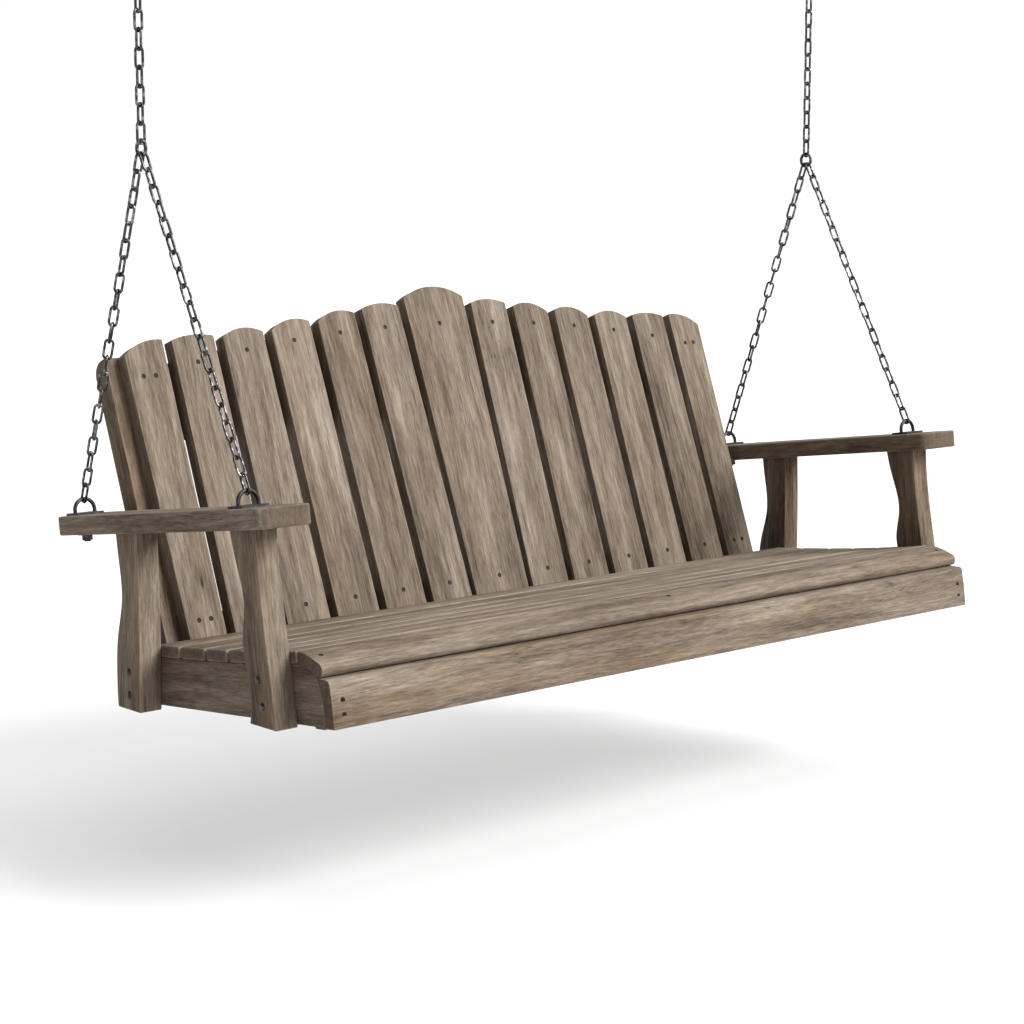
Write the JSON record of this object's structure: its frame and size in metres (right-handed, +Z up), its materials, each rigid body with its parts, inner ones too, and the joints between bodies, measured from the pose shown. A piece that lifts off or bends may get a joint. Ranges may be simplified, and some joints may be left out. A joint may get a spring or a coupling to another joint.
{
  "type": "porch swing",
  "caption": "Slatted wooden porch swing bench with a crowned back and flat arms, hung at each end from a ceiling plate by a chain that splits at a ring into two legs.",
  "frame": {"origin": "on the ceiling plane, midway between the two ceiling plates, straight above the two rings", "axes": "+Z up, +X along the bench towards the sitter's left hand, +Y towards the back of the bench"},
  "size_m": [1.524, 0.6656, 1.246],
  "materials": {
    "slat_wood": "matte",
    "arm_wood": "matte",
    "post_wood": "matte",
    "frame_wood": "matte",
    "chain_steel": "satin",
    "plate_steel": "satin",
    "bolt_steel": "satin",
    "screw_steel": "matte"
  },
  "bodies": {
    "ceiling_mount": {"ceiling_plates": "plate_steel", "ceiling_eyes": "plate_steel"},
    "quick_links": {"left_quick_link": "bolt_steel", "right_quick_link": "bolt_steel"},
    "left_upper_chain": {"left_upper_chain": "chain_steel"},
    "right_upper_chain": {"right_upper_chain": "chain_steel"},
    "left_lower_link": {"left_lower_link": "chain_steel"},
    "right_lower_link": {"right_lower_link": "chain_steel"},
    "bench": {"arm_screws": "screw_steel", "back_screws": "screw_steel", "back_slat_1": "slat_wood", "back_slat_10": "slat_wood", "back_slat_11": "slat_wood", "back_slat_12": "slat_wood", "back_slat_13": "slat_wood", "back_slat_2": "slat_wood", "back_slat_3": "slat_wood", "back_slat_4": "slat_wood", "back_slat_5": "slat_wood", "back_slat_6": "slat_wood", "back_slat_7": "slat_wood", "back_slat_8": "slat_wood", "back_slat_9": "slat_wood", "centre_seat_rail": "frame_wood", "eye_nuts": "bolt_steel", "eye_plates": "plate_steel", "eye_washers": "bolt_steel", "front_apron": "frame_wood", "front_seat_slat": "slat_wood", "left_arm": "arm_wood", "left_back_stile": "frame_wood", "left_front_chain": "chain_steel", "left_front_eye": "plate_steel", "left_front_post": "post_wood", "left_rear_chain": "chain_steel", "left_rear_eye": "plate_steel", "left_rear_post": "post_wood", "left_ring": "chain_steel", "left_side_rail": "frame_wood", "lower_back_rail": "frame_wood", "post_bolts": "bolt_steel", "right_arm": "arm_wood", "right_back_stile": "frame_wood", "right_front_chain": "chain_steel", "right_front_eye": "plate_steel", "right_front_post": "post_wood", "right_rear_chain": "chain_steel", "right_rear_eye": "plate_steel", "right_rear_post": "post_wood", "right_ring": "chain_steel", "right_side_rail": "frame_wood", "seat_screws": "screw_steel", "seat_slat_1": "slat_wood", "seat_slat_2": "slat_wood", "seat_slat_3": "slat_wood", "seat_slat_4": "slat_wood", "seat_slat_5": "slat_wood", "seat_slat_6": "slat_wood", "upper_back_rail": "frame_wood"}
  },
  "joints": [
    {"name": "swing", "type": "hinge", "parent": "ceiling_mount", "child": "quick_links", "pos_m": [0, 0, -0.034], "axis": [1, 0, 0], "range_deg": [-25, 25]},
    {"name": "sway", "type": "hinge", "parent": "quick_links", "child": "left_upper_chain", "pos_m": [-0.722, 0, -0.0687], "axis": [0, 1, 0], "range_deg": [-8, 8]},
    {"name": "right_sway", "type": "hinge", "parent": "quick_links", "child": "right_upper_chain", "pos_m": [0.722, 0, -0.0687], "axis": [0, 1, 0], "range_deg": [-8, 8]},
    {"name": "left_level", "type": "hinge", "parent": "left_upper_chain", "child": "left_lower_link", "pos_m": [-0.722, 0, -0.3833], "axis": [0, 1, 0], "range_deg": [-8, 8]},
    {"name": "right_level", "type": "hinge", "parent": "right_upper_chain", "child": "right_lower_link", "pos_m": [0.722, 0, -0.3833], "axis": [0, 1, 0], "range_deg": [-8, 8]},
    {"name": "bench_pitch", "type": "hinge", "parent": "left_lower_link", "child": "bench", "pos_m": [-0.722, 0, -0.4096], "axis": [1, 0, 0], "range_deg": [-10, 10]}
  ],
  "couplings": [
    {"joint": "right_sway", "follows": "sway", "ratio": 1},
    {"joint": "left_level", "follows": "sway", "ratio": -1},
    {"joint": "right_level", "follows": "sway", "ratio": -1}
  ]
}
